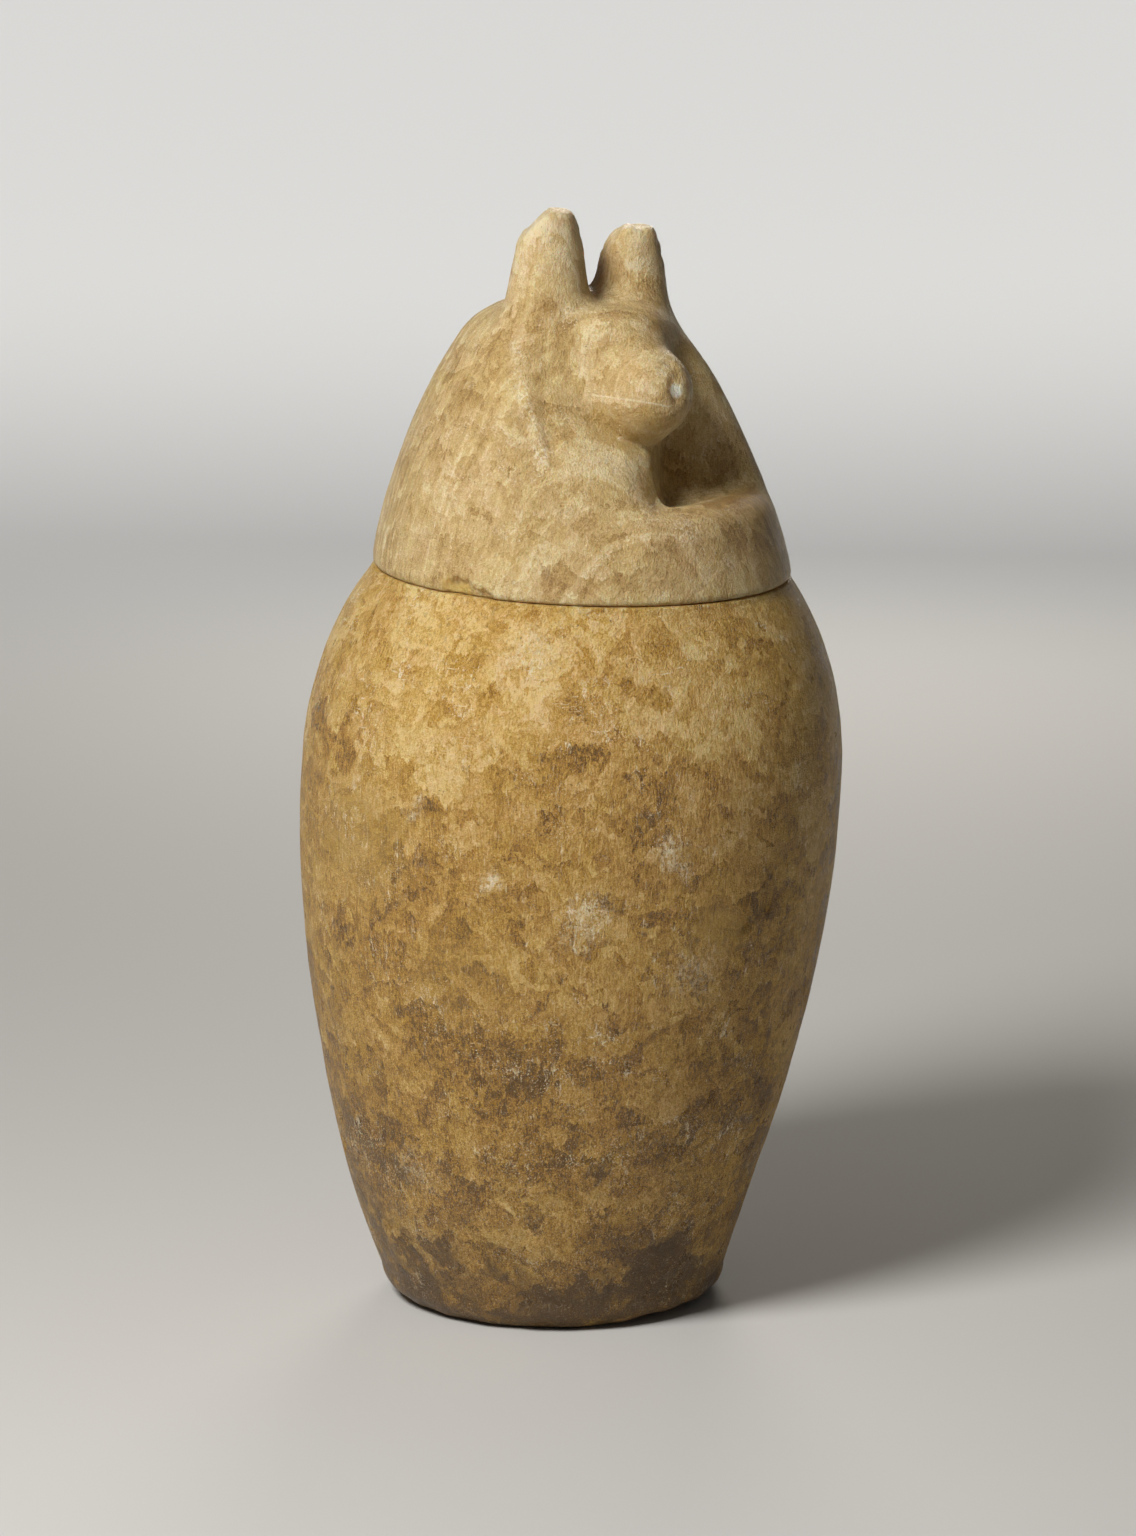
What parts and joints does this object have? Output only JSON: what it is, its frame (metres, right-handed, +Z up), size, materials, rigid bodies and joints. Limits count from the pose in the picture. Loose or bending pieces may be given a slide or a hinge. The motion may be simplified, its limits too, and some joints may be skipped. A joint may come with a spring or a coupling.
{
  "type": "jackal-headed canopic jar",
  "caption": "Hollow egg-shaped stone jar with a lift-off lid carved as a jackal's head in a plain wig.",
  "frame": {"origin": "centre of the jar's flat underside, on the surface that it stands on", "axes": "+Z up; the jackal's muzzle faces -Y, and its left is +X"},
  "size_m": [0.1985, 0.1983, 0.4038],
  "materials": {
    "jar_stone": "honey travertine, satin, mottled by large crystals",
    "lid_stone": "cream travertine, satin, banded and a little worn"
  },
  "bodies": {
    "root": {"jar": "jar_stone", "lid": "lid_stone"}
  },
  "joints": []
}
